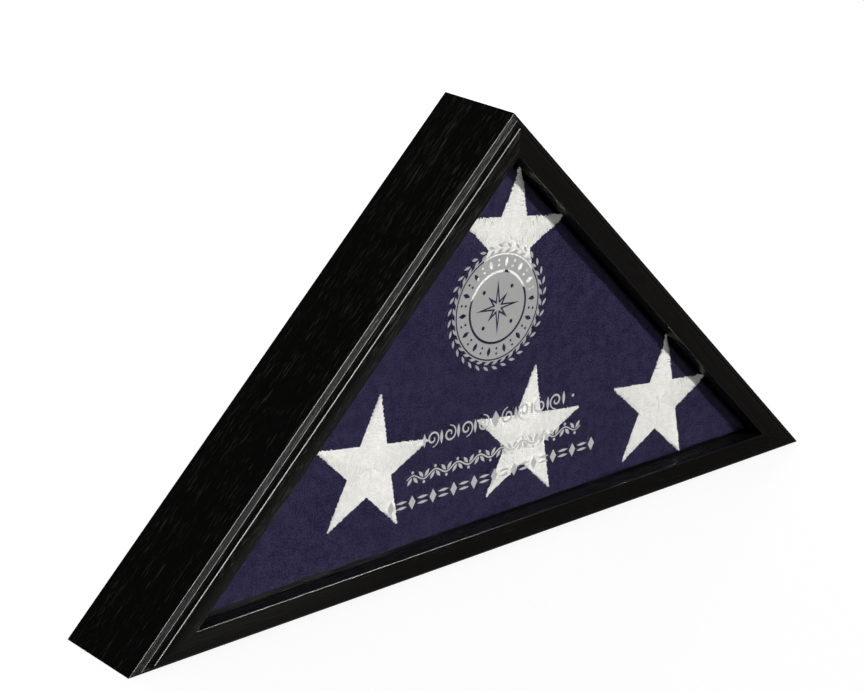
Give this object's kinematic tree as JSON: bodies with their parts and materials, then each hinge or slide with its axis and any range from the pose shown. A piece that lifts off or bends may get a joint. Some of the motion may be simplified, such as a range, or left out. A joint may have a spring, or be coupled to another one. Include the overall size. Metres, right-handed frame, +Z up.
{
  "type": "folded flag display case",
  "caption": "Triangular black wood shadow-box case that stands on its long side, with a glazed front, a folded flag inside and a back panel held by turn-buttons.",
  "frame": {"origin": "middle of the footprint on the surface the case stands on, midway between the front flat and the rear edge of the rails", "axes": "+X along the long base rail to the viewer's right, +Y from the glass to the back panel, +Z up to the apex"},
  "size_m": [0.6344, 0.0768, 0.3174],
  "materials": {
    "stained_wood": "satin black stain, open grain",
    "raw_black_wood": "matt black stain",
    "panel_board": "matt black hardboard",
    "clear_glass": "clear float glass with a frosted engraving",
    "flag_cotton": "navy cotton with white embroidered stars",
    "black_felt": "felt",
    "zinc_steel": "zinc plated"
  },
  "bodies": {
    "case": {"left_rail": "stained_wood", "right_rail": "stained_wood", "base_rail": "stained_wood", "left_glazing_strip": "raw_black_wood", "right_glazing_strip": "raw_black_wood", "base_glazing_strip": "raw_black_wood", "glass_pane": "clear_glass", "folded_flag": "flag_cotton", "button_screw_1": "zinc_steel", "button_screw_2": "zinc_steel", "button_screw_3": "zinc_steel", "button_screw_4": "zinc_steel", "button_screw_5": "zinc_steel", "button_screw_6": "zinc_steel", "button_screw_7": "zinc_steel", "v_nail_left_1": "zinc_steel", "v_nail_left_2": "zinc_steel", "v_nail_right_1": "zinc_steel", "v_nail_right_2": "zinc_steel", "v_nail_apex": "zinc_steel"},
    "back_panel": {"back_panel": "panel_board", "felt_lining": "black_felt"},
    "turn_button_1": {"turn_button_1": "zinc_steel"},
    "turn_button_2": {"turn_button_2": "zinc_steel"},
    "turn_button_3": {"turn_button_3": "zinc_steel"},
    "turn_button_4": {"turn_button_4": "zinc_steel"},
    "turn_button_5": {"turn_button_5": "zinc_steel"},
    "turn_button_6": {"turn_button_6": "zinc_steel"},
    "turn_button_7": {"turn_button_7": "zinc_steel"}
  },
  "joints": [
    {"name": "turn_button_1_swing", "type": "hinge", "parent": "case", "child": "turn_button_1", "pos_m": [-0.21709, 0.03, 0.09009], "axis": [0, 1, 0], "range_deg": [0, 180]},
    {"name": "turn_button_2_swing", "type": "hinge", "parent": "case", "child": "turn_button_2", "pos_m": [-0.08374, 0.03, 0.22344], "axis": [0, 1, 0], "range_deg": [0, 180]},
    {"name": "turn_button_3_swing", "type": "hinge", "parent": "case", "child": "turn_button_3", "pos_m": [0.08374, 0.03, 0.22344], "axis": [0, -1, 0], "range_deg": [0, 180]},
    {"name": "turn_button_4_swing", "type": "hinge", "parent": "case", "child": "turn_button_4", "pos_m": [0.21709, 0.03, 0.09009], "axis": [0, -1, 0], "range_deg": [0, 180]},
    {"name": "turn_button_5_swing", "type": "hinge", "parent": "case", "child": "turn_button_5", "pos_m": [0.1905, 0.03, 0.0073], "axis": [0, 1, 0], "range_deg": [0, 180]},
    {"name": "turn_button_6_swing", "type": "hinge", "parent": "case", "child": "turn_button_6", "pos_m": [0, 0.03, 0.0073], "axis": [0, 1, 0], "range_deg": [0, 180]},
    {"name": "turn_button_7_swing", "type": "hinge", "parent": "case", "child": "turn_button_7", "pos_m": [-0.1905, 0.03, 0.0073], "axis": [0, -1, 0], "range_deg": [0, 180]},
    {"name": "back_panel_lift_off", "type": "slide", "parent": "case", "child": "back_panel", "axis": [0, 1, 0], "range_m": [0, 0.15]}
  ]
}
